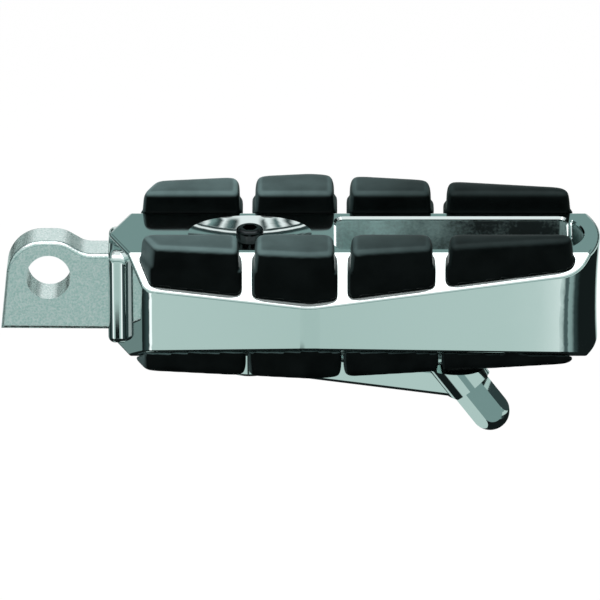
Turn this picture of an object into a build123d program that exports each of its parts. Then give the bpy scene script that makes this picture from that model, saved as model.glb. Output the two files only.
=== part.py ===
from build123d import *
import os
from math import cos, sin, tan, sqrt, radians

# A rider's footpeg: a clevis tang, a cast body with rubber pads, and a heel arm that swings out below.
# The origin is the centre of the clevis bore. +X runs outward along the peg, +Z is square to the deck.

# Tang, drawn in its own upright plane round the clevis bore
bore_r = 5.0
tang_thick = 12.7
tang_top = 8.3
tang_left = 8.7
tang_lean = 2.0
tang_floor = 12.0
tang_top_round = 8.0
crest_x = 3.2
crest_round = 7.0
neck_x = 8.2
neck_round = 6.0
neck_top = 5.35
tang_edge = 1.0
tang_roll = 9.5
axis_drop = 3.4
neck_height = 2 * (neck_top + axis_drop)

# Shank of the tang, held in the body
shank_r = 5.55
shank_inside = 42.5
neck_inside = 5.0
fit_gap = 0.05

# Body plan, one side of its middle line
nose_x = 13.4
heel_in = 8.3
heel_half = 19.6
crown_in = 45.3
crown_half = 23.9
corner_half = 15.9
body_long = 110.5
end_lean = 0.3
end_waist = 0.6
corner_back = 5.6
nose_round = 2.0
heel_round = 3.6
crown_round = 18.0
corner_round = 7.5

# Body section
deck_z = 12.8
deck_half = 10.6
shoulder_angle = 30.2
prism_spare = 1.0
body_edge = 0.8
collar_half = 8.8
collar_z = 11.2
collar_round = 1.6
collar_blend = 1.8
collar_out = 11.5
collar_edge = 1.5
collar_crown = 6.0

# Dish and pivot bolt
pivot_in = 31.8
dish_long = 13.9
dish_half = 9.4
dish_deep = 1.7
head_r = 3.1
head_high = 4.5
head_seat = 9.7
head_edge = 1.0
head_room = 0.2
socket_flats = 3.0
socket_deep = 2.2
bolt_r = 2.4
thread_r = 2.0
thread_tip = 0.5
bolt_out = 0.2

# Slot in the deck
slot_in = 51.2
slot_back = 7.4
slot_half = 8.4
slot_round = 1.9
slot_rim = 0.5
rib_thick = 1.2
pocket_long = 2.4
pocket_deep = 8.0
pocket_rim = 0.35

# Rubber pads
pad_first_in = 7.4
pad_last_back = 6.4
pad_shares = (0.256, 0.207, 0.213, 0.324)
pad_gap = 3.5
pad_inner = 10.4
pad_inset = 1.1
pad_top_z = 18.0
pad_low_z = 13.4
pad_skirt = 0.7
skirt_z = 12.5
pad_corner = 1.5
pad_edge_share = 0.33
skirt_edge = 0.5
pad_back = 2.4
pad_low_back = 1.2
low_gap = 0.4
last_outer_share = 0.66
last_inner_share = 0.33
plug_y = 13.9
plug_r = 2.5
plug_deep = 4.5

# Heel arm, drawn along +X from its pivot and then swung out
arm_swing = 16.0
thrust_thick = 0.9
thrust_r = 6.0
run_gap = 0.05
arm_high = 6.2
arm_half = 4.2
arm_edge = 1.0
hub_r = 6.8
hub_edge = 0.8
bush_wall = 1.0
bush_long = 2.25
spring_thick = 0.25
spring_space = 0.5
spring_r = 4.0
nut_washer_r = 4.2
nut_washer_thick = 0.6
nut_flats = 7.0
nut_high = 2.5
nut_room = 0.4

# Slanted boss and hexagonal heel pin at the end of the arm
boss_reach = 50.1
boss_angle = 49.7
boss_r = 5.4
boss_out = 2.3
pin_flats = 7.6
pin_out = 11.5
pin_tail_r = 2.5
pin_tail = 3.3

# Worked out from the sizes above
shoulder = tan(radians(shoulder_angle))
body_place = Pos(0, -axis_drop * sin(radians(tang_roll)), -axis_drop * cos(radians(tang_roll)))
tang_turn = Rot(-tang_roll, 0, 0)
end_x = nose_x + body_long
heel_lean = heel_in / heel_half
side_fall = (crown_half - corner_half) / (body_long - corner_back - crown_in)
pad_row_end = end_x - pad_last_back
pad_end_wide = crown_half - pad_inset - side_fall * (pad_row_end - nose_x - crown_in) - pad_inner
pad_edge = pad_edge_share * pad_end_wide
slot_start = nose_x + slot_in
slot_end = end_x - slot_back
pivot_x = nose_x + pivot_in
arm_top = -(deck_z + thrust_thick + run_gap)
arm_mid = arm_top - arm_high / 2
arm_floor = arm_top - arm_high
hub_floor = arm_top - bush_long
shoulder_z = hub_floor - spring_space
washer_floor = shoulder_z - nut_washer_thick
nut_floor = washer_floor - nut_high
nut_corner_r = nut_flats / sqrt(3)
far = 2 * body_long

print("arm top", round(arm_top, 2), "arm floor", round(arm_floor, 2), "nut floor", round(nut_floor, 2))


def rod(radius, low, high):
    """An upright round bar from one height to another."""
    return extrude(Pos(0, 0, low) * Circle(radius), high - low)


def tube(outer, inner, low, high):
    """A washer or bush between two heights."""
    return rod(outer, low, high) - rod(inner, low, high)


def hex_bar(flats, low, high):
    """An upright hexagonal bar, a corner towards +X, by its width across the flats."""
    return extrude(Pos(0, 0, low) * RegularPolygon(flats / sqrt(3), 6), high - low)


def nearest(shape, x, y):
    """The corner of a flat outline that lies nearest to a point."""
    return min(shape.vertices(), key=lambda v: (v.X - x) ** 2 + (v.Y - y) ** 2)


def round_plan(face, corners):
    """Round the corners of a plan outline, each given as its radius and place on one side."""
    for radius, x, y in corners:
        ends = [nearest(face, x, y)] if y == 0 else [nearest(face, x, y), nearest(face, x, -y)]
        face = fillet(ends, radius)
    return face


def soften(plan, radius):
    """Round every corner of a convex outline, also where two corners lie close together."""
    core = offset(plan, -radius, kind=Kind.INTERSECTION)
    return offset(core, radius, kind=Kind.ARC)


def body_plan(last_x):
    """The body seen from above: a blunt nose, sides that swell to a crown, and a bowed outer end."""
    corner_x = last_x - corner_back
    crown_x = nose_x + crown_in
    corner_y = crown_half - side_fall * (corner_x - crown_x)
    half = [(nose_x + heel_in, heel_half), (crown_x, crown_half), (corner_x, corner_y)]
    other = [(x, -y) for x, y in reversed(half)]
    sides = Polyline(*other, (nose_x, 0), *half)
    end = ThreePointArc(half[-1], (last_x, 0), other[0])
    rounds = zip((heel_round, crown_round, corner_round), half)
    corners = [(nose_round, nose_x, 0)] + [(radius, x, y) for radius, (x, y) in rounds]
    return round_plan(make_face(sides + end), corners)


def body_block():
    """The body's outline lofted between the decks, so that the outer end leans and is a little waisted."""
    lower = Pos(0, 0, -deck_z) * body_plan(end_x - end_lean)
    middle = body_plan(end_x - end_waist)
    upper = Pos(0, 0, deck_z) * body_plan(end_x)
    return loft([lower, middle, upper])


def collar():
    """The cheeks on both sides of the neck, blended into the slanted heel."""
    flank = [(nose_x + heel_lean * y, y) for y in (collar_half, collar_out)]
    half = [(nose_x, collar_half)] + flank + [(nose_x + heel_in, collar_out)]
    other = [(x, -y) for x, y in reversed(half)]
    plan = make_face(Polyline(*half, *other, close=True))
    corners = [(collar_round, nose_x, collar_half), (collar_blend, *flank[0])]
    cheeks = extrude(Pos(0, 0, -collar_z) * round_plan(plan, corners), 2 * collar_z)
    crown = Rectangle(2 * collar_out, 2 * collar_z)
    crown = fillet(crown.vertices(), collar_crown)
    cheeks &= extrude(Plane.YZ.offset(nose_x) * crown, heel_in)
    return fillet(cheeks.faces().sort_by(Axis.X)[0].edges(), collar_edge)


def shoulder_prism(length):
    """A long bar with the body's cross-section: two flat decks, each with a shoulder on both sides."""
    wide = crown_half + prism_spare
    side_z = deck_z - shoulder * (wide - deck_half)
    right = [(deck_half, deck_z), (wide, side_z), (wide, -side_z), (deck_half, -deck_z)]
    left = [(-y, z) for y, z in reversed(right)]
    return extrude(Plane.YZ * make_face(Polyline(*right, *left, close=True)), length)


def upright_slab(x0, x1, half_y, z0, z1, corner=0.0):
    """A block between two places along X, the same on both sides, with its upright edges rounded."""
    plan = Pos((x0 + x1) / 2, 0, z0) * Rectangle(x1 - x0, 2 * half_y)
    if corner:
        plan = fillet(plan.vertices(), corner)
    return extrude(plan, z1 - z0)


def dish_cap():
    """The bowl that is sunk into the deck, part of a ball stretched to an oval."""
    ball_r = (dish_half**2 + dish_deep**2) / (2 * dish_deep)
    ball = Pos(0, 0, ball_r - dish_deep) * Sphere(ball_r)
    return Pos(pivot_x, 0, deck_z) * scale(ball, by=(dish_long / dish_half, 1, 1))


def neck_block(gap=0.0):
    """The squared neck of the tang where it enters the body, or its pocket if a gap is given."""
    start = nose_x - (1.0 if gap else 0.0)
    end = nose_x + neck_inside + gap
    plan = Rectangle(tang_thick + 2 * gap, neck_height + 2 * gap)
    plan = fillet(plan.vertices(), tang_edge)
    bar = extrude(Plane.YZ.offset(start) * plan, end - start)
    return Pos(0, 0, -axis_drop) * bar


def tang_shank(gap=0.0):
    """The round shank behind the neck, or its bore."""
    start = nose_x + neck_inside
    bar = extrude(Plane.YZ.offset(start) * Circle(shank_r + gap), shank_inside - neck_inside + gap)
    return Pos(0, 0, -axis_drop) * bar


def mount_tang():
    """The clevis tang: a rounded plate with its cross bore, a squared neck and a round shank."""
    points = [
        (-tang_left - tang_lean, -tang_floor),
        (-tang_left, tang_top),
        (crest_x, tang_top),
        (neck_x, neck_top),
        (nose_x, neck_top),
        (nose_x, neck_top - neck_height),
    ]
    plan = make_face(Polyline(*points, close=True))
    for radius, (x, z) in zip((tang_top_round, crest_round, neck_round), points[1:4]):
        plan = fillet([nearest(plan, x, z)], radius)
    plate = extrude(Plane.XZ * plan, tang_thick / 2, both=True)
    faces = plate.faces().filter_by(Axis.Y)
    rims = [edge for face in faces for edge in face.edges() if edge.center().X < nose_x - 0.01]
    plate = fillet(rims, tang_edge)
    bore = extrude(Plane.XZ * Circle(bore_r), tang_thick, both=True)
    cross = Pos(pivot_x, 0, 0) * rod(bolt_r + fit_gap, -tang_thick, tang_thick)
    upright = (plate + neck_block() + tang_shank()) - bore
    return tang_turn * upright - body_place * cross


def slot_plan(grow, z):
    """The slot's outline at a height, larger all round by a given growth."""
    plan = Rectangle(slot_end - slot_start + 2 * grow, 2 * (slot_half + grow))
    plan = fillet(plan.vertices(), slot_round + grow)
    return Pos((slot_start + slot_end) / 2, 0, z) * plan


def slot_cut():
    """The long slot through both decks with its bevelled rim, and the small pocket beyond its outer rib."""
    slot = extrude(slot_plan(0, -far), 2 * far)
    slot += loft([slot_plan(0, deck_z - slot_rim), slot_plan(2 * slot_rim, deck_z + slot_rim)])
    pocket_start = slot_end + rib_thick
    edge_y = slot_half - slot_round
    chord = Polyline((pocket_start, edge_y), (pocket_start, -edge_y))
    bow = ThreePointArc((pocket_start, -edge_y), (pocket_start + pocket_long, 0), (pocket_start, edge_y))
    outline = make_face(chord + bow)
    pocket = extrude(Pos(0, 0, deck_z - pocket_deep) * outline, far)
    wider = Pos(0, 0, deck_z) * offset(outline, pocket_rim)
    pocket += loft([Pos(0, 0, deck_z - pocket_rim) * outline, wider])
    return slot + pocket


def plug(x, side, level):
    """A pad's plug, or its hole when made a little larger: place, side of the peg, upper or lower."""
    surface = deck_z - shoulder * (plug_y - deck_half)
    low, high = sorted((level * (surface - plug_deep), level * (surface + plug_deep / 2)))
    return Pos(x, side * plug_y, 0), low, high


def pad_spans():
    """Where each of the pads in a row starts and ends along the peg."""
    spans = []
    start = nose_x + pad_first_in
    rubber = body_long - pad_first_in - pad_last_back - (len(pad_shares) - 1) * pad_gap
    for share in pad_shares:
        spans.append((start, start + share * rubber))
        start += share * rubber + pad_gap
    return spans


def low_span(number, span):
    """The longer span of a low pad, which stands close to its neighbours."""
    spread = (pad_gap - low_gap) / 2 - pad_skirt
    return span[0] - spread, span[1] + (spread if number < len(pad_shares) else 0)


def pad_places():
    """Every pad's place in its row, its span, its side of the peg and its level."""
    for level in (1, -1):
        for side in (-1, 1):
            for number, span in enumerate(pad_spans(), 1):
                yield number, span, side, level


def peg_body():
    """The cast body with its seats for the tang, the bolt and the pads."""
    core = body_block() & shoulder_prism(far)
    core = fillet(core.edges(), body_edge)
    body = core + collar() - dish_cap() - slot_cut()
    seat = rod(head_r + head_room, head_seat, far) + rod(bolt_r + fit_gap, -far, far)
    body -= Pos(pivot_x, 0, 0) * seat
    body -= body_place.inverse() * (tang_turn * (neck_block(fit_gap) + tang_shank(fit_gap)))
    for number, span, side, level in pad_places():
        place, low, high = plug(sum(span) / 2, side, level)
        body -= place * rod(plug_r + fit_gap, low - fit_gap, high + fit_gap)
    return body_place * body


def pad_plan(number, span, widen, set_back=pad_back):
    """A pad seen from above, on the +Y side: inside the body's own sides and the slanted nose."""
    rise = (crown_half - heel_half) / (crown_in - heel_in)
    back = nose_x + set_back - widen
    heel_y = (heel_half - pad_inset + rise * (back - nose_x - heel_in)) / (1 - heel_lean * rise)
    crown_x = nose_x + crown_in
    crown_y = crown_half - pad_inset
    side = Polyline(
        (back, 0),
        (back + heel_lean * heel_y, heel_y),
        (crown_x, crown_y),
        (end_x, crown_y - side_fall * (end_x - crown_x)),
        (end_x, 0),
        close=True,
    )
    start = nose_x if number == 1 else span[0] - widen
    end = span[1] + widen
    corners = [(start, pad_inner), (end, pad_inner), (end, crown_half), (start, crown_half)]
    plan = make_face(side) & make_face(Polyline(*corners, close=True))
    if number < len(pad_shares):
        return soften(plan, pad_corner)
    plan = fillet([nearest(plan, end, crown_half)], last_outer_share * pad_end_wide)
    plan = fillet([nearest(plan, end, pad_inner)], last_inner_share * pad_end_wide)
    return fillet([v for v in plan.vertices() if v.X < (start + end) / 2], pad_corner)


def pad_tier(number, span, widen, low, high, set_back=pad_back):
    """One tier of a pad, between two heights."""
    return extrude(Pos(0, 0, low) * pad_plan(number, span, widen, set_back), high - low)


def pad(number, span, side, level):
    """A rubber pad: a raised or low block on a wider skirt, seated on the shoulder, with its plug."""
    if level > 0:
        block = pad_tier(number, span, 0, 0, pad_top_z)
        block = fillet(block.faces().sort_by(Axis.Z)[-1].edges(), pad_edge)
        skirt = pad_tier(number, span, pad_skirt, 0, skirt_z)
        skirt = fillet(skirt.faces().sort_by(Axis.Z)[-1].edges(), skirt_edge)
        solid = block + skirt
    else:
        solid = pad_tier(number, low_span(number, span), pad_skirt, -pad_low_z, 0, pad_low_back)
        solid = fillet(solid.faces().sort_by(Axis.Z)[0].edges(), skirt_edge)
    solid -= shoulder_prism(far)
    if side < 0:
        solid = mirror(solid, about=Plane.XZ)
    place, low, high = plug(sum(span) / 2, side, level)
    return body_place * (solid + place * rod(plug_r, low, high))


def pivot_bolt():
    """The socket screw: head in the dish, shank through body and shank, shoulder and thread below."""
    head = rod(head_r, head_seat, head_seat + head_high)
    head = fillet(head.edges().group_by(Axis.Z)[-1], head_edge)
    head -= hex_bar(socket_flats, head_seat + head_high - socket_deep, far)
    thread = rod(thread_r, nut_floor - bolt_out, shoulder_z)
    thread = chamfer(thread.edges().group_by(Axis.Z)[0], thread_tip)
    return head + rod(bolt_r, shoulder_z, head_seat) + thread


def spring_washer():
    """A dished spring washer round the bolt's shoulder."""
    inner = bolt_r + fit_gap
    high, low = hub_floor - run_gap, shoulder_z
    points = [(inner, low + spring_thick), (inner, low), (spring_r, high - spring_thick), (spring_r, high)]
    return revolve(Plane.XZ * make_face(Polyline(*points, close=True)), Axis.Z)


def lock_nut():
    """The thin lock nut, its corners turned to a cone on the outer face."""
    nut = hex_bar(nut_flats, nut_floor, washer_floor)
    cone_high = nut_corner_r - nut_flats / 2
    turned = rod(nut_corner_r, nut_floor, washer_floor)
    turned = chamfer(turned.edges().group_by(Axis.Z)[0], cone_high)
    return (nut & turned) - rod(thread_r, -far, far)


def boss_axis():
    """The place and tilt of the slanted boss, its own +Z running down along the heel pin."""
    return Pos(boss_reach, 0, arm_mid) * Rot(0, 90 + boss_angle, 0)


def heel_arm():
    """The arm: a hub with its recess for the nut, a straight bar, and the slanted boss."""
    bar = upright_slab(0, boss_reach, arm_half, arm_floor, arm_top)
    bar = fillet(bar.edges().filter_by(Axis.X), arm_edge)
    hub = rod(hub_r, arm_floor, arm_top)
    hub = fillet(hub.edges().group_by(Axis.Z)[0], hub_edge)
    slab = upright_slab(-far, far, far, arm_floor, arm_top)
    boss = boss_axis() * rod(boss_r, -3 * boss_r, boss_out) & slab
    outside = boss_axis() * upright_slab(-far, far, far, boss_out, far)
    arm = (bar + boss - outside) + hub
    arm -= rod(bolt_r + fit_gap + bush_wall, hub_floor, arm_top)
    arm -= rod(nut_corner_r + nut_room, arm_floor, hub_floor)
    arm -= rod(bolt_r + fit_gap, arm_floor, arm_top)
    return arm - boss_axis() * rod(pin_tail_r, boss_out - pin_tail, boss_out)


def arm_bush():
    """The bearing bush pressed into the arm's hub."""
    return tube(bolt_r + fit_gap + bush_wall, bolt_r + fit_gap, hub_floor, arm_top)


def heel_pin():
    """The hexagonal heel pin: a round tail in the boss and a ball-turned outer end."""
    ball_r = pin_flats / sqrt(3)
    tip = boss_out + pin_out
    turned = rod(ball_r, boss_out, tip - ball_r) + Pos(0, 0, tip - ball_r) * Sphere(ball_r)
    outer = Rot(0, 0, 90) * hex_bar(pin_flats, boss_out, tip) & turned
    return boss_axis() * (outer + rod(pin_tail_r, boss_out - pin_tail, boss_out))


def all_parts():
    """Every piece of the peg, by its name, in place."""
    at_pivot = body_place * Pos(pivot_x, 0, 0)
    at_arm = at_pivot * Rot(0, 0, -arm_swing)
    parts = {
        "mount_tang": mount_tang(),
        "peg_body": peg_body(),
        "pivot_bolt": at_pivot * pivot_bolt(),
        "thrust_washer": at_pivot * tube(thrust_r, bolt_r + fit_gap, -deck_z - thrust_thick, -deck_z),
        "spring_washer": at_pivot * spring_washer(),
        "nut_washer": at_pivot * tube(nut_washer_r, thread_r + fit_gap, washer_floor, shoulder_z),
        "lock_nut": at_pivot * lock_nut(),
        "heel_arm": at_arm * heel_arm(),
        "arm_bush": at_arm * arm_bush(),
        "heel_pin": at_arm * heel_pin(),
    }
    for number, span, side, level in pad_places():
        row = ("top" if level > 0 else "low") + ("_front_" if side < 0 else "_back_")
        parts["pad_" + row + str(number)] = pad(number, span, side, level)
    return parts


os.makedirs("parts", exist_ok=True)
for name, shape in all_parts().items():
    export_step(shape, "parts/" + name + ".step")
    print(name, round(shape.volume, 2))
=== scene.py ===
# %% [markdown]
# # A chromed footpeg with rubber pads and a swing-out heel arm
#
# This lesson dresses a footpeg that is already built to size. The metal pieces, the pads and the joint
# of the heel arm come in as a fixed frame, in metres. Nothing in that frame is moved here.
# What this file adds is what the eye sees: chrome, cast steel and rubber, the soft crowns of the
# moulded pads, and a plain studio to look at them in.

# %% Load the frame
import bpy
from math import radians, sin, cos, pi
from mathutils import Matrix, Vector


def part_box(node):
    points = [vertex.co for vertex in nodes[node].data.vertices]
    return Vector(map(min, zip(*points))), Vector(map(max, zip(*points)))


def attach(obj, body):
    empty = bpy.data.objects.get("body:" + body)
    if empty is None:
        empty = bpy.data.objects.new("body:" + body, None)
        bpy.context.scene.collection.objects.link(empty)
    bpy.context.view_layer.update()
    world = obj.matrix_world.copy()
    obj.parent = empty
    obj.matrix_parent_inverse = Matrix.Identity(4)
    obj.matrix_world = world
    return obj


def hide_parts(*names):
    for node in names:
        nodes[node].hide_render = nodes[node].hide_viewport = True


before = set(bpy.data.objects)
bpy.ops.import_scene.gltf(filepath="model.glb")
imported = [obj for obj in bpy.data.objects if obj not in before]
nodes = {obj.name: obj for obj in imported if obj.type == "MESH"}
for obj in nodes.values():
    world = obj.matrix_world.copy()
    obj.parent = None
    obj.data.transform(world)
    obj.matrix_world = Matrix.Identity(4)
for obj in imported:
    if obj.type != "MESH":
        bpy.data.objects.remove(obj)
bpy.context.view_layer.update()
print("pieces in the frame:", len(nodes))

# %% [markdown]
# ## The few measures that the rest hangs on
#
# The body's own middle line lies a little below the clevis bore, so its centre is read from its box.
# Reading it here keeps the camera, the studio and the finish of the slot tied to the frame.

# %% Measures from the frame
MM = 0.001
body_low, body_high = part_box("peg_body")
body_mid = (body_low + body_high) / 2
print("body centre in mm:", [round(v / MM, 2) for v in body_mid])

# %% [markdown]
# ## The camera
#
# The photograph looks down on the deck by about 25 degrees, square to the peg's length, through a long
# lens. A long lens far away keeps the peg's two ends nearly the same size. The photograph is 600 pixels
# wide, and one pixel is 0.2252 mm at the peg. The camera could be placed by eye, but these few numbers
# give its place and its lens at once.

# %% Camera
photo_width = 600
pixel = 0.2252 * MM
view_down = radians(25)
view_distance = 2.0
view_end = 20.0
film_width = 36
frame_centre_x = 56.48 * MM
axis_above_centre = 15.5 * pixel

sight = Vector((0, cos(view_down), -sin(view_down)))
image_up = Vector((0, sin(view_down), cos(view_down)))
target = Vector((frame_centre_x, body_mid.y, body_mid.z)) - axis_above_centre * image_up
camera_data = bpy.data.cameras.new("long_lens")
camera_data.sensor_width = film_width
camera_data.lens = film_width * view_distance / (photo_width * pixel)
camera_data.clip_end = view_end
camera = bpy.data.objects.new("camera", camera_data)
camera.location = target - view_distance * sight
camera.rotation_euler = (pi / 2 - view_down, 0, 0)
bpy.context.scene.collection.objects.link(camera)
bpy.context.scene.camera = camera
bpy.context.scene.view_settings.view_transform = "Standard"
print("lens", round(camera_data.lens, 1), "mm")

# %% [markdown]
# ## Small helpers for shader nodes
#
# A material is a chain of nodes. These helpers add a node, give its sockets their values and join two
# sockets. They keep each recipe below short enough to read in one go.

# %% Nodes and sockets
def add_node(tree, kind, **settings):
    """Adds a node and gives its own settings, such as a Math node's operation."""
    node = tree.nodes.new(kind)
    for key, value in settings.items():
        setattr(node, key, value)
    return node


def link(tree, source, target):
    tree.links.new(source, target)


def fill(tree, socket, value):
    """Gives a socket a number, a colour or another node's output."""
    if hasattr(value, "links"):
        link(tree, value, socket)
    elif isinstance(value, (int, float)):
        socket.default_value = value
    else:
        socket.default_value = (*value, 1)


# %% Sums and ranges
def math_node(tree, operation, first, second=None, clamp=False):
    """A Math node whose inputs are numbers or other nodes' outputs."""
    node = add_node(tree, "ShaderNodeMath", operation=operation, use_clamp=clamp)
    for socket, value in zip(node.inputs, (first, second)):
        if value is not None:
            fill(tree, socket, value)
    return node.outputs[0]


def ranged(tree, value, source, result=(0.0, 1.0)):
    """A Map Range node: the source range turned into the result range."""
    node = add_node(tree, "ShaderNodeMapRange")
    link(tree, value, node.inputs["Value"])
    node.inputs["From Min"].default_value, node.inputs["From Max"].default_value = source
    node.inputs["To Min"].default_value, node.inputs["To Max"].default_value = result
    return node.outputs[0]


def split_xyz(tree, vector):
    """The x, y and z of a vector as three outputs."""
    node = add_node(tree, "ShaderNodeSeparateXYZ")
    link(tree, vector, node.inputs[0])
    return tuple(node.outputs)


# %% Colours
def mix_colour(tree, factor, first, second):
    """A colour Mix node; factor and both colours may be values or outputs."""
    node = add_node(tree, "ShaderNodeMix", data_type="RGBA")
    for socket, value in ((node.inputs[0], factor), (node.inputs[6], first), (node.inputs[7], second)):
        fill(tree, socket, value)
    return node.outputs[2]


def ramp(tree, factor, stops):
    """A Color Ramp through (place, colour) stops."""
    node = add_node(tree, "ShaderNodeValToRGB")
    node.color_ramp.interpolation = "EASE"
    elements = node.color_ramp.elements
    while len(elements) < len(stops):
        elements.new(0.5)    # its place comes with its colour below
    for element, (place, colour) in zip(elements, stops):
        element.position = place
        element.color = (*colour, 1)
    link(tree, factor, node.inputs[0])
    return node.outputs[0]


# %% [markdown]
# ## The studio
#
# Chrome has almost no colour of its own, so the studio is what it shows. The side band of the body
# faces the floor in front, the deck faces the space behind, and the sloped shoulders face straight up.
# A rounded upright corner sweeps its reflection round the floor, by twice the angle that it turns.
# So the floor carries cards and flags laid out by angle round the peg's two ends, as a photographer
# lays them out: pale in front, white beside it, and black at the sides. Only mirrors see them. What
# the camera sees directly is white, as in the photograph, and Light Path tells the two apart.

# %% Tones of the studio
black_flag = (0.008, 0.012, 0.012)
dark_tone = (0.03, 0.05, 0.05)
dusk_card = (0.04, 0.07, 0.07)
deep_card = (0.07, 0.11, 0.11)
grey_card = (0.16, 0.24, 0.23)
dim_card = (0.24, 0.34, 0.33)
half_card = (0.27, 0.38, 0.37)
soft_card = (0.44, 0.58, 0.55)
front_card = (0.50, 0.64, 0.61)
fading_card = (0.5, 0.62, 0.6)
bright_card = (0.8, 0.9, 0.88)
brighter_card = (0.85, 0.95, 0.93)
white_card = (1.15, 1.2, 1.2)
print("tones from", black_flag, "to", white_card)

# %% Cards by their angle round the peg, in degrees
cards = [
    # behind the peg, for views from behind, and then its left side
    (-180, front_card), (-163, front_card), (-153, black_flag), (-145, black_flag),
    (-136, grey_card), (-118, grey_card), (-108, black_flag),
    # the left corner of the body and the near face of the arm
    (-48, dusk_card), (-39, white_card), (-28, white_card), (-25.5, front_card), (-14, front_card),
    # the side band
    (0, soft_card), (15.2, front_card), (16.4, bright_card), (20, brighter_card), (25, fading_card),
    # the right corner, and then the right side
    (36, deep_card), (44, deep_card), (50, half_card), (58, dim_card), (74, dark_tone),
    (96, black_flag), (156, black_flag),
    # behind the peg again
    (166, front_card), (180, front_card),
]
print("cards by angle:", len(cards))

# %% Round cards: tone, centre, radius and width of the soft edge, in metres
round_cards = [
    (black_flag, (0, 0), 0.28, 0.03),               # under the peg, for all that faces down
    (front_card, (-0.088, 0.010), 0.032, 0.006),    # for the left face of the heel pin
    (black_flag, (-0.061, -0.345), 0.033, 0.012),   # for the dark line down the collar
    (black_flag, (-0.19, 0.68), 0.22, 0.05),        # for the left shoulder of the tang
    (black_flag, (0.15, 0.64), 0.19, 0.04),         # for the left wall of the clevis bore
    (black_flag, (-1.42, -0.04), 0.85, 0.10),       # for the left edge of the tang
]
print("round cards:", len(round_cards))

# %% [markdown]
# ### The floor
#
# The floor is one large plane below the peg. It could be a sweep that curves up into a wall, but the
# sky does that work here. The plane is added and gets its own material.

# %% Floor plane
floor_drop = 0.16
floor_size = 8.0

bpy.ops.object.select_all(action="DESELECT")
bpy.ops.mesh.primitive_plane_add(size=floor_size, location=(body_mid.x, 0, body_low.z - floor_drop))
floor = bpy.context.object
floor.name = "studio_floor"
floor_look = bpy.data.materials.new("studio_floor")
floor_look.use_nodes = True
floor.data.materials.append(floor_look)
print("floor at", round(floor.location.z, 3))

# %% [markdown]
# The angle of a point is taken round the nearer end of the peg, not round its middle. Along the peg
# the tones then change only at its ends, as they do when long cards lie beside it.

# %% Colour of the floor for mirrors
half_run = 0.047
ring_end = 0.47
ring_fade = 0.05

tree = floor_look.node_tree
tree.nodes.clear()
floor_place = add_node(tree, "ShaderNodeTexCoord").outputs["Object"]
floor_x, floor_y, _ = split_xyz(tree, floor_place)
beyond = math_node(tree, "SUBTRACT", math_node(tree, "ABSOLUTE", floor_x), half_run)
beyond = math_node(tree, "MAXIMUM", beyond, 0.0)
beyond = math_node(tree, "MULTIPLY", beyond, math_node(tree, "SIGN", floor_x))
toward = math_node(tree, "MULTIPLY", floor_y, -1.0)
angle = math_node(tree, "ARCTAN2", beyond, toward)
turned = math_node(tree, "ADD", math_node(tree, "DIVIDE", angle, 2 * pi), 0.5)
floor_colour = ramp(tree, turned, [((degrees + 180) / 360, tone) for degrees, tone in cards])


def from_centre(tree, centre):
    """How far a point of the floor lies from a centre on it."""
    distance = add_node(tree, "ShaderNodeVectorMath", operation="DISTANCE")
    link(tree, floor_place, distance.inputs[0])
    distance.inputs[1].default_value = (*centre, 0)
    return distance.outputs["Value"]


far_out = ranged(tree, from_centre(tree, (0, 0)), (ring_end, ring_end + ring_fade))
floor_colour = mix_colour(tree, far_out, floor_colour, front_card)
for tone, centre, radius, edge in round_cards:
    covered = ranged(tree, from_centre(tree, centre), (radius, radius - edge))
    floor_colour = mix_colour(tree, covered, floor_colour, tone)
print("the ring of cards ends at", ring_end, "m")

# %% [markdown]
# The camera sees mostly a white glow and partly the lit floor, which keeps the shadow. Mirrors see the
# cards. From below the floor is clear, so that it doesn't hide the peg's underside.

# %% Shaders of the studio
def glow(tree, kind, colour, strength=1.0):
    """An Emission or a Background node: a colour that shines by itself."""
    node = add_node(tree, kind)
    fill(tree, node.inputs[0], colour)
    fill(tree, node.inputs[1], strength)
    return node.outputs[0]


def mix_shader(tree, factor, first, second):
    """The first shader where the factor is 0 and the second where it is 1."""
    node = add_node(tree, "ShaderNodeMixShader")
    for socket, value in zip(node.inputs, (factor, first, second)):
        link(tree, value, socket)
    return node.outputs[0]


# %% What each kind of ray sees on the floor
white = (1, 1, 1)
pale_floor = (0.9, 0.9, 0.9)
seen_strength = 1.08    # with the lit floor's share this adds up to white
seen_share = 0.7

rays = add_node(tree, "ShaderNodeLightPath")
seen = glow(tree, "ShaderNodeEmission", white, seen_strength)
mirrored = glow(tree, "ShaderNodeEmission", floor_colour)
lit = add_node(tree, "ShaderNodeBsdfDiffuse")
fill(tree, lit.inputs[0], pale_floor)
clear = add_node(tree, "ShaderNodeBsdfTransparent").outputs[0]
from_below = add_node(tree, "ShaderNodeNewGeometry").outputs["Backfacing"]
direct = math_node(tree, "MULTIPLY", rays.outputs["Is Camera Ray"], seen_share)

floor_shader = mix_shader(tree, rays.outputs["Is Glossy Ray"], lit.outputs[0], mirrored)
floor_shader = mix_shader(tree, direct, floor_shader, seen)
floor_shader = mix_shader(tree, from_below, floor_shader, clear)
link(tree, floor_shader, add_node(tree, "ShaderNodeOutputMaterial").inputs[0])
print("white share of the floor:", seen_share)

# %% [markdown]
# ### The sky
#
# The sky behind the peg shows in the deck, the dish and the tang's rim, and the sky in front shows in
# the faces of the heel pin. An image of a studio would be the usual way. Here plain bands by height
# give the same kinds of light and dark, and need no file.

# %% Bands of the sky by height
back_tone = (0.20, 0.31, 0.30)
high_tone = (0.9, 0.95, 0.95)
horizon_tone = (0.8, 0.88, 0.87)

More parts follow.
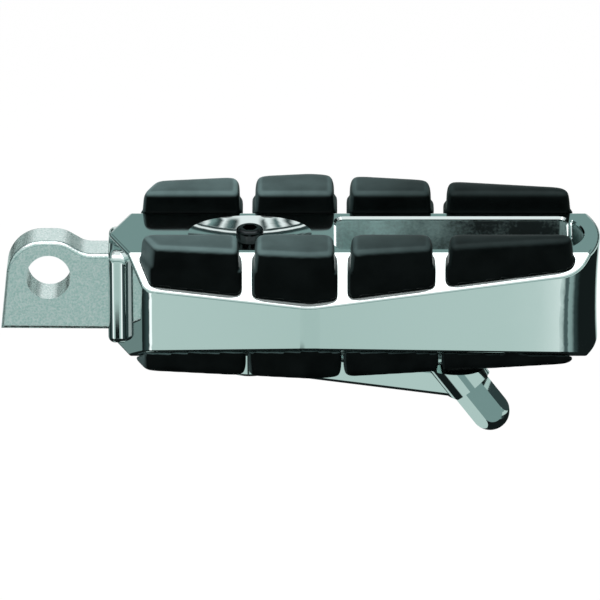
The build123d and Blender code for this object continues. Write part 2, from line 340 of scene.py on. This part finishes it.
world = bpy.data.worlds.new("studio")
bpy.context.scene.world = world
world.use_nodes = True
tree = world.node_tree
tree.nodes.clear()
sky_x, sky_y, sky_z = split_xyz(tree, add_node(tree, "ShaderNodeTexCoord").outputs["Generated"])
behind = ramp(tree, sky_z, [
    (0.0, horizon_tone), (0.2, horizon_tone), (0.32, back_tone), (0.5, back_tone),
    (0.55, dark_tone), (0.60, dark_tone), (0.62, high_tone), (0.645, high_tone),
    (0.665, dark_tone), (0.69, dark_tone), (0.71, high_tone), (1.0, high_tone),
])
before = ramp(tree, sky_z, [
    (0.0, back_tone), (0.23, back_tone), (0.27, front_card), (0.6, front_card),
    (0.75, high_tone), (1.0, high_tone),
])
print("sky from", back_tone, "to", high_tone)

# %% [markdown]
# The dish in the deck shows arcs and streaks of light and dark. They come from upright bars high in
# the sky behind the peg. Low down at both sides that sky is dark, which gives the dark right face of
# the heel pin and the shaded parts of the tang's rim.

# %% Bars and dark sides of the sky behind
bar_tone = (0.10, 0.16, 0.16)
bar_spread = 1.6

across = math_node(tree, "ADD", math_node(tree, "MULTIPLY", sky_x, bar_spread), 0.5)
bars = ramp(tree, across, [
    (0.1, high_tone), (0.16, high_tone), (0.2, dark_tone), (0.25, high_tone), (0.29, bar_tone),
    (0.35, high_tone), (0.39, dark_tone), (0.43, high_tone), (0.56, high_tone), (0.6, dark_tone),
    (0.64, bar_tone), (0.69, high_tone), (0.72, dark_tone), (0.78, back_tone), (0.81, high_tone),
    (0.84, dark_tone), (0.95, bar_tone),
])
nothing, all_of_it = (0, 0, 0), (1, 1, 1)
in_bars = ramp(tree, sky_z, [(0.69, nothing), (0.71, all_of_it), (0.83, all_of_it), (0.9, nothing)])
behind = mix_colour(tree, in_bars, behind, bars)
aside = ranged(tree, math_node(tree, "ABSOLUTE", sky_x), (0.14, 0.26))
low_down = ranged(tree, sky_z, (0.34, 0.24))
behind = mix_colour(tree, math_node(tree, "MULTIPLY", aside, low_down), behind, dark_tone)
is_behind = math_node(tree, "GREATER_THAN", sky_y, 0.0)
sky = mix_colour(tree, is_behind, before, behind)
print("bars span x from", round((0.1 - 0.5) / bar_spread, 2), "to", round((0.95 - 0.5) / bar_spread, 2))

# %% What each kind of ray sees of the sky
ambient = (0.75, 0.75, 0.75)

rays = add_node(tree, "ShaderNodeLightPath")
for_metal = glow(tree, "ShaderNodeBackground", sky)
for_rest = glow(tree, "ShaderNodeBackground", ambient)
for_eye = glow(tree, "ShaderNodeBackground", white)
world_shader = mix_shader(tree, rays.outputs["Is Glossy Ray"], for_rest, for_metal)
world_shader = mix_shader(tree, rays.outputs["Is Camera Ray"], world_shader, for_eye)
link(tree, world_shader, add_node(tree, "ShaderNodeOutputWorld").inputs[0])
print("world ambient", ambient[0])

# %% [markdown]
# ### The lamp
#
# One large soft lamp above lights the tops of the pads, which carry painted light as well, and gives
# the floor its faint shadow. A small or strong lamp would burn spots into the chrome.

# %% Overhead softbox
lamp_place = Vector((body_mid.x, 0.05, 0.8))
lamp_width, lamp_depth = 1.0, 0.6
lamp_watts = 2.6

lamp_data = bpy.data.lights.new("overhead_softbox", "AREA")
lamp_data.shape = "RECTANGLE"
lamp_data.size, lamp_data.size_y = lamp_width, lamp_depth
lamp_data.energy = lamp_watts
lamp = bpy.data.objects.new("overhead_softbox", lamp_data)
lamp.location = lamp_place
lamp.rotation_euler = (body_mid - lamp_place).to_track_quat("-Z", "Y").to_euler()
bpy.context.scene.collection.objects.link(lamp)
print("lamp radiance", round(lamp_watts / (pi * lamp_width * lamp_depth), 2))

# %% [markdown]
# ## Looks that several materials share
#
# Fine grain, soft mottling and worn edges come back on most of the pieces. Each is a node group with
# named inputs, built once. A group only puts out one changing value, and the shader stays outside it.
# All sizes are in millimetres, because that is how one thinks of a casting's grain.

# %% Helpers for groups
MM_PER_METRE = 1000.0


def new_group(name, **defaults):
    """A shader node group with float inputs and their defaults, and one float output."""
    group = bpy.data.node_groups.new(name, "ShaderNodeTree")
    for title, default in defaults.items():
        socket = group.interface.new_socket(name=title, in_out="INPUT", socket_type="NodeSocketFloat")
        socket.default_value = default
    group.interface.new_socket(name="Value", in_out="OUTPUT", socket_type="NodeSocketFloat")
    return group, group.nodes.new("NodeGroupInput"), group.nodes.new("NodeGroupOutput")


def noise_node(group, size, **constants):
    """Noise on Object coordinates, with lumps of the given size."""
    noise = add_node(group, "ShaderNodeTexNoise")
    link(group, add_node(group, "ShaderNodeTexCoord").outputs["Object"], noise.inputs["Vector"])
    link(group, math_node(group, "DIVIDE", MM_PER_METRE, size), noise.inputs["Scale"])
    for title, value in constants.items():
        noise.inputs[title].default_value = value
    return noise.outputs[0]


# %% Grain group
def make_grain():
    """A fine, even grain of small lumps, as on cast or moulded skin."""
    group, source, sink = new_group("fine_grain", Size=0.3)
    lumps = noise_node(group, source.outputs["Size"], Detail=3, Roughness=0.6)
    link(group, lumps, sink.inputs["Value"])
    return group


# %% Mottle group
def make_mottle():
    """Slow, soft changes over centimetres, as handling and polish leave them."""
    group, source, sink = new_group("soft_mottle", Size=12.0, Low=0.0, High=1.0)
    patches = noise_node(group, source.outputs["Size"], Detail=4)
    spread = add_node(group, "ShaderNodeMapRange")
    spread.inputs["From Min"].default_value = 0.35
    spread.inputs["From Max"].default_value = 0.65
    link(group, patches, spread.inputs["Value"])
    link(group, source.outputs["Low"], spread.inputs["To Min"])
    link(group, source.outputs["High"], spread.inputs["To Max"])
    link(group, spread.outputs[0], sink.inputs["Value"])
    return group


# %% Edge group
def make_edges():
    """A value that is high along sharp outer edges, broken up by noise."""
    group, source, sink = new_group("worn_edges", Start=0.52, End=0.6, Break=2.0)
    broken = noise_node(group, source.outputs["Break"])
    shape = add_node(group, "ShaderNodeNewGeometry")
    edge = add_node(group, "ShaderNodeMapRange")
    link(group, shape.outputs["Pointiness"], edge.inputs["Value"])
    link(group, source.outputs["Start"], edge.inputs["From Min"])
    link(group, source.outputs["End"], edge.inputs["From Max"])
    link(group, math_node(group, "MULTIPLY", edge.outputs[0], broken), sink.inputs["Value"])
    return group


grain, mottle, edges = make_grain(), make_mottle(), make_edges()
print("groups:", [g.name for g in bpy.data.node_groups])

# %% [markdown]
# A material starts as one Principled shader. Its plain numbers are set on the shader itself. Only what
# changes over the surface comes through nodes.

# %% Helpers for materials
def new_material(name, **constants):
    """A material with one Principled shader; constants are set on the shader's own sockets."""
    material = bpy.data.materials.new(name)
    material.use_nodes = True
    tree = material.node_tree
    shader = tree.nodes["Principled BSDF"]
    for key, value in constants.items():
        fill(tree, shader.inputs[key.replace("_", " ")], value)
    return material, tree, shader


def use_group(tree, group, **values):
    """Places a group in a material with its own values, and gives the group's output."""
    node = add_node(tree, "ShaderNodeGroup", node_tree=group)
    for key, value in values.items():
        node.inputs[key].default_value = value
    return node.outputs["Value"]


def bump(tree, shader, height, strength, depth):
    """Turns a height into a bumped normal; depth is in millimetres."""
    node = add_node(tree, "ShaderNodeBump")
    node.inputs["Strength"].default_value = strength
    node.inputs["Distance"].default_value = depth * MM
    link(tree, height, node.inputs["Height"])
    link(tree, node.outputs[0], shader.inputs["Normal"])


# %% [markdown]
# ## Chrome
#
# Chrome plate is a near mirror with a faint teal cast here. Two things keep it from looking like a
# computer's mirror: the roughness wanders a little with the polish, and the surface under the plate is
# not perfectly flat. Scratches or dust would break the mirror up too, but the photograph shows none.

# %% Chrome of the heel arm and its pin
chrome_tint = (0.80, 0.86, 0.85)


def new_chrome(name, **constants):
    """Chrome's material, and the two values that wander over it: its polish and its waves."""
    material, tree, shader = new_material(name, Metallic=1.0, **constants)
    polish = use_group(tree, mottle, Size=9.0, Low=0.02, High=0.07)
    waves = use_group(tree, mottle, Size=22.0)
    return material, tree, shader, polish, waves


chrome_arm, tree, shader, polish, waves = new_chrome("chrome_arm", Base_Color=chrome_tint)
link(tree, polish, shader.inputs["Roughness"])
bump(tree, shader, waves, strength=0.08, depth=0.05)
print("made", chrome_arm.name)

# %% [markdown]
# ### The raw casting inside the slot
#
# The body is chromed all over except inside its slot, where the casting was never polished. The slot
# could be a second material on its own faces, but the mesh of the frame isn't touched here. So the
# same material looks at where a point lies: within the slot's length and width, and below its rim.

# %% Where the slot is
def place_xyz(tree):
    """The place of a point on its piece, in metres, which is also its place in the frame."""
    return split_xyz(tree, add_node(tree, "ShaderNodeTexCoord").outputs["Object"])


slot_start, slot_end = 64.6 * MM, 120.3 * MM
slot_half = 8.72 * MM
rim_depth = 0.9 * MM

chrome_body, tree, shader, polish, waves = new_chrome("chrome_body")
x, y, z = place_xyz(tree)
from_middle = math_node(tree, "ABSOLUTE", math_node(tree, "SUBTRACT", y, body_mid.y))
from_axis = math_node(tree, "ABSOLUTE", math_node(tree, "SUBTRACT", z, body_mid.z))
past_start = math_node(tree, "GREATER_THAN", x, slot_start)
before_end = math_node(tree, "LESS_THAN", x, slot_end)
narrow = math_node(tree, "LESS_THAN", from_middle, slot_half)
below_rim = math_node(tree, "LESS_THAN", from_axis, body_high.z - body_mid.z - rim_depth)
in_slot = math_node(tree, "MULTIPLY", past_start, before_end)
in_slot = math_node(tree, "MULTIPLY", in_slot, narrow)
in_slot = math_node(tree, "MULTIPLY", in_slot, below_rim)
print("slot from", round(slot_start / MM, 1), "to", round(slot_end / MM, 1), "mm")

# %% [markdown]
# The casting's own tone is light. Along the slot a painted shade darkens it outwards from the inner
# end, nearly to black, and the painted shade lifts again in the pocket behind the outer end. Clouds and
# specks break the slope up, so that it doesn't look sprayed on.

# %% Colour of the casting, with painted shade in the slot
cast_bright, slot_shade_tone = (0.52, 0.74, 0.72), (0.02, 0.03, 0.03)
shade_start_at, shade_full_at = 76 * MM, 99 * MM
pocket_start = 114.9 * MM
pocket_fade = 0.3 * MM

casting = use_group(tree, grain, Size=0.7)
clouds = use_group(tree, mottle, Size=7.0, Low=-0.16, High=0.16)
specks = ranged(tree, casting, (0.3, 0.7), (-0.12, 0.12))
# Painted shade: darker from the slot's inner end outwards, and lighter again in the pocket.
slot_shade = ranged(tree, x, (shade_start_at, shade_full_at), (0.15, 1.0))
pocket = ranged(tree, x, (pocket_start, pocket_start + pocket_fade), (0.0, -0.62))
slot_shade = math_node(tree, "ADD", slot_shade, pocket)
unevenness = math_node(tree, "ADD", clouds, specks)
slot_shade = math_node(tree, "ADD", slot_shade, unevenness, clamp=True)
cast_colour = mix_colour(tree, slot_shade, cast_bright, slot_shade_tone)
link(tree, mix_colour(tree, in_slot, chrome_tint, cast_colour), shader.inputs["Base Color"])
print("darkest from x =", round(shade_full_at / MM, 1), "mm")

# %% Roughness and lumps of the casting
cast_roughness = 0.42
cast_dullness = 0.75
wave_share = 0.08

rougher = math_node(tree, "MULTIPLY", in_slot, cast_roughness)
link(tree, math_node(tree, "ADD", polish, rougher), shader.inputs["Roughness"])
dulled = math_node(tree, "MULTIPLY", in_slot, cast_dullness)
link(tree, math_node(tree, "SUBTRACT", 1.0, dulled), shader.inputs["Metallic"])
lumps = math_node(tree, "MULTIPLY", casting, in_slot)
gentle = math_node(tree, "MULTIPLY", waves, wave_share)
bump(tree, shader, math_node(tree, "ADD", lumps, gentle), strength=0.9, depth=0.06)
print("made", chrome_body.name)

# %% [markdown]
# ## Cast steel of the tang
#
# The tang is a plain casting with a satin skin. Its broad faces are speckled and dull. Its rim and its
# bore were machined and show more of the studio, so the skin is smoother there. The rim's faces tilt up
# or down while the broad faces stand nearly upright, so the tilt tells the two apart.

# %% Cast steel
def facing_xyz(tree):
    """The way the surface faces, as three numbers from -1 to 1."""
    return split_xyz(tree, add_node(tree, "ShaderNodeNewGeometry").outputs["Normal"])


steel_dark, steel_light = (0.66, 0.80, 0.78), (1.0, 1.0, 1.0)
skin_roughness, cut_roughness = 0.28, 0.10
patch_share = 0.06

cast_steel, tree, shader = new_material("cast_steel", Metallic=1.0)
speckle = use_group(tree, grain, Size=0.48)
flecks = ranged(tree, speckle, (0.36, 0.64))
link(tree, mix_colour(tree, flecks, steel_dark, steel_light), shader.inputs["Base Color"])
tilt = math_node(tree, "ABSOLUTE", facing_xyz(tree)[2])
roughness = ranged(tree, tilt, (0.2, 0.34), (skin_roughness, cut_roughness))
patches = math_node(tree, "MULTIPLY", use_group(tree, mottle, Size=6.0), patch_share)
link(tree, math_node(tree, "ADD", patches, roughness), shader.inputs["Roughness"])
bump(tree, shader, speckle, strength=0.9, depth=0.08)
print("made", cast_steel.name)

# %% [markdown]
# ## Rubber
#
# Moulded rubber is nearly black. Light is painted into its colour: the upper faces and the left end
# faces are grey. They are lightest on the crown's rounding and at the pads on the left, and the grey
# fades towards the right. So the colour follows the way a face points and how far out it lies. The
# sheen stands for the matt skin that catches light at a low angle.

# %% Where light is painted on the rubber
lit_from, lit_to = 42 * MM, 92 * MM
least_lit = 0.12
end_face_share = 0.55

rubber, tree, shader = new_material("rubber", IOR=1.13, Sheen_Weight=0.03, Sheen_Roughness=0.3,
                                    Sheen_Tint=(0.75, 1.0, 0.97))
patches = use_group(tree, mottle, Size=7.0)
facing_x, _, facing_z = facing_xyz(tree)
# Painted light: faces that point up are lighter, and the crown's rounding is lightest, as a painted
# highlight.
top_light = ramp(tree, facing_z, [
    (0.3, nothing), (0.8, all_of_it), (0.92, all_of_it), (0.99, (0.6, 0.6, 0.6)),
])
# Painted light on the end faces that point to the left.
end_light = ranged(tree, facing_x, (-0.5, -0.95), (0.0, end_face_share))
# The painted light is strongest at the pads on the left and fades towards the right.
light_from_left = ranged(tree, place_xyz(tree)[0], (lit_from, lit_to), (1.0, least_lit))
uneven = ranged(tree, patches, (0.0, 1.0), (0.75, 1.0))
painted_light = math_node(tree, "MULTIPLY", math_node(tree, "MAXIMUM", top_light, end_light), light_from_left)
painted_light = math_node(tree, "MULTIPLY", painted_light, uneven)
# The painted light fades across this range of x.
print("rubbed from x =", round(lit_from / MM), "to", round(lit_to / MM), "mm")

# %% Colour, gloss and skin of the rubber
fresh_rubber, dusty_rubber = (0.001, 0.002, 0.002), (0.003, 0.005, 0.005)
# The grey of the painted light on the pads.
lit_rubber = (0.15, 0.23, 0.23)

plain_rubber = mix_colour(tree, patches, fresh_rubber, dusty_rubber)
link(tree, mix_colour(tree, painted_light, plain_rubber, lit_rubber), shader.inputs["Base Color"])
link(tree, ranged(tree, patches, (0.0, 1.0), (0.36, 0.43)), shader.inputs["Roughness"])
bump(tree, shader, use_group(tree, grain, Size=0.35), strength=0.25, depth=0.03)
print("made", rubber.name)

# %% [markdown]
# ## Steels and bronze of the small hardware
#
# The pivot screw is blacked steel, the washers and the nut are zinc plated, and the bush is bronze.
# They differ in colour, gloss and grain only, so one recipe serves all three. Handling brightens their
# edges, which the worn_edges group gives.

# %% Small hardware
def make_metal(name, low_tint, high_tint, roughness, grain_size):
    """A metal with a fine grain between two tints, and with brighter edges."""
    material, tree, shader = new_material(name, Metallic=1.0)
    skin = use_group(tree, grain, Size=grain_size)
    worn = use_group(tree, edges, Start=0.52, End=0.62, Break=0.8)
    plain = mix_colour(tree, skin, low_tint, high_tint)
    bright = tuple(min(1.0, 1.4 * part + 0.1) for part in high_tint)
    link(tree, mix_colour(tree, worn, plain, bright), shader.inputs["Base Color"])
    spread = math_node(tree, "MULTIPLY", skin, 0.15)
    link(tree, math_node(tree, "ADD", spread, roughness), shader.inputs["Roughness"])
    bump(tree, shader, skin, strength=0.2, depth=0.02)
    return material


black_steel = make_metal("black_steel", (0.015, 0.017, 0.018), (0.035, 0.04, 0.042),
                         roughness=0.1, grain_size=0.3)
bright_steel = make_metal("bright_steel", (0.5, 0.53, 0.54), (0.7, 0.73, 0.73),
                          roughness=0.18, grain_size=0.25)
bronze = make_metal("bronze", (0.5, 0.33, 0.16), (0.68, 0.48, 0.25),
                    roughness=0.25, grain_size=0.3)
print("made", black_steel.name, bright_steel.name, bronze.name)

# %% [markdown]
# ## Dressing the pieces
#
# A node whose form is right keeps its mesh and only gets its finish, through its material slot.
# Whatever the list doesn't name is one of the 16 pads.

# %% Assign finishes
finish_of = {
    "mount_tang": cast_steel,
    "peg_body": chrome_body,
    "heel_arm": chrome_arm,
    "heel_pin": chrome_arm,
    "pivot_bolt": black_steel,
    "thrust_washer": bright_steel,
    "spring_washer": bright_steel,
    "nut_washer": bright_steel,
    "lock_nut": bright_steel,
    "arm_bush": bronze,
}
for name, node in nodes.items():
    node.data.materials.clear()
    node.data.materials.append(finish_of.get(name, rubber))
print("dressed", len(nodes), "pieces")

# %% [markdown]
# ## The moulded pads
#
# A moulded pad has no sharp edge anywhere: the mould is cut with a round tool, and the boot wears the
# crown rounder still. The solid pads have small fillets, so each one is copied, its loose triangles are
# joined, and its skin is rebuilt as an even net of small faces. Then the whole net is relaxed a little,
# and the crown is relaxed much more, which gives the soft upper edge without touching the flat sides.
# A Bevel modifier would round every edge alike, which is why the net is relaxed instead.

# %% Copying and relaxing a net
weld = 0.01 * MM


def apply_modifier(piece, name):
    bpy.context.view_layer.objects.active = piece
    bpy.ops.object.modifier_apply(modifier=name)


def relax(piece, name, rounds, group=""):
    """Smooths the net for so many rounds, all over or within a vertex group."""
    soft = piece.modifiers.new(name, "SMOOTH")
    soft.factor, soft.iterations, soft.vertex_group = 0.5, rounds, group
    apply_modifier(piece, name)


def merged_copy(node_name, name):
    """A copy of a solid piece's mesh under its own name, with its loose triangles joined."""
    bpy.ops.object.select_all(action="DESELECT")
    piece = bpy.data.objects.new(name, nodes[node_name].data.copy())
    bpy.context.scene.collection.objects.link(piece)
    bpy.context.view_layer.objects.active = piece
    piece.select_set(True)
    bpy.ops.object.mode_set(mode="EDIT")
    bpy.ops.mesh.select_all(action="SELECT")
    bpy.ops.mesh.remove_doubles(threshold=weld)
    bpy.ops.object.mode_set(mode="OBJECT")
    return piece


# %% Moulding the pads
skin_step = 0.42 * MM
crown_deep = 4.6 * MM
crown_fade = 2.4 * MM
rounds_all, rounds_crown = 6, 70


def mould_pad(node_name, up):
    """The softened stand-in for one pad; up is 1 for the upper row and -1 for the lower one."""
    pad = merged_copy(node_name, "moulded_" + node_name)
    skin = pad.modifiers.new("even_skin", "REMESH")
    skin.mode, skin.voxel_size = "VOXEL", skin_step
    apply_modifier(pad, "even_skin")
    crown_level = max(up * point.co.z for point in pad.data.vertices)
    crown = pad.vertex_groups.new(name="crown")
    for point in pad.data.vertices:
        share = (up * point.co.z - crown_level + crown_deep) / crown_fade
        if share > 0:
            crown.add([point.index], min(1.0, share), "REPLACE")
    relax(pad, "relax_all", rounds_all)
    relax(pad, "relax_crown", rounds_crown, "crown")
    pad.vertex_groups.clear()
    bpy.ops.object.shade_smooth()
    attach(pad, "peg")
    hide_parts(node_name)
    return pad


pads = []
for name in sorted(nodes):
    if name.startswith("pad_"):
        pads.append(mould_pad(name, 1 if "_top_" in name else -1))
print("moulded", len(pads), "pads, faces in each:", [len(pad.data.polygons) for pad in pads])
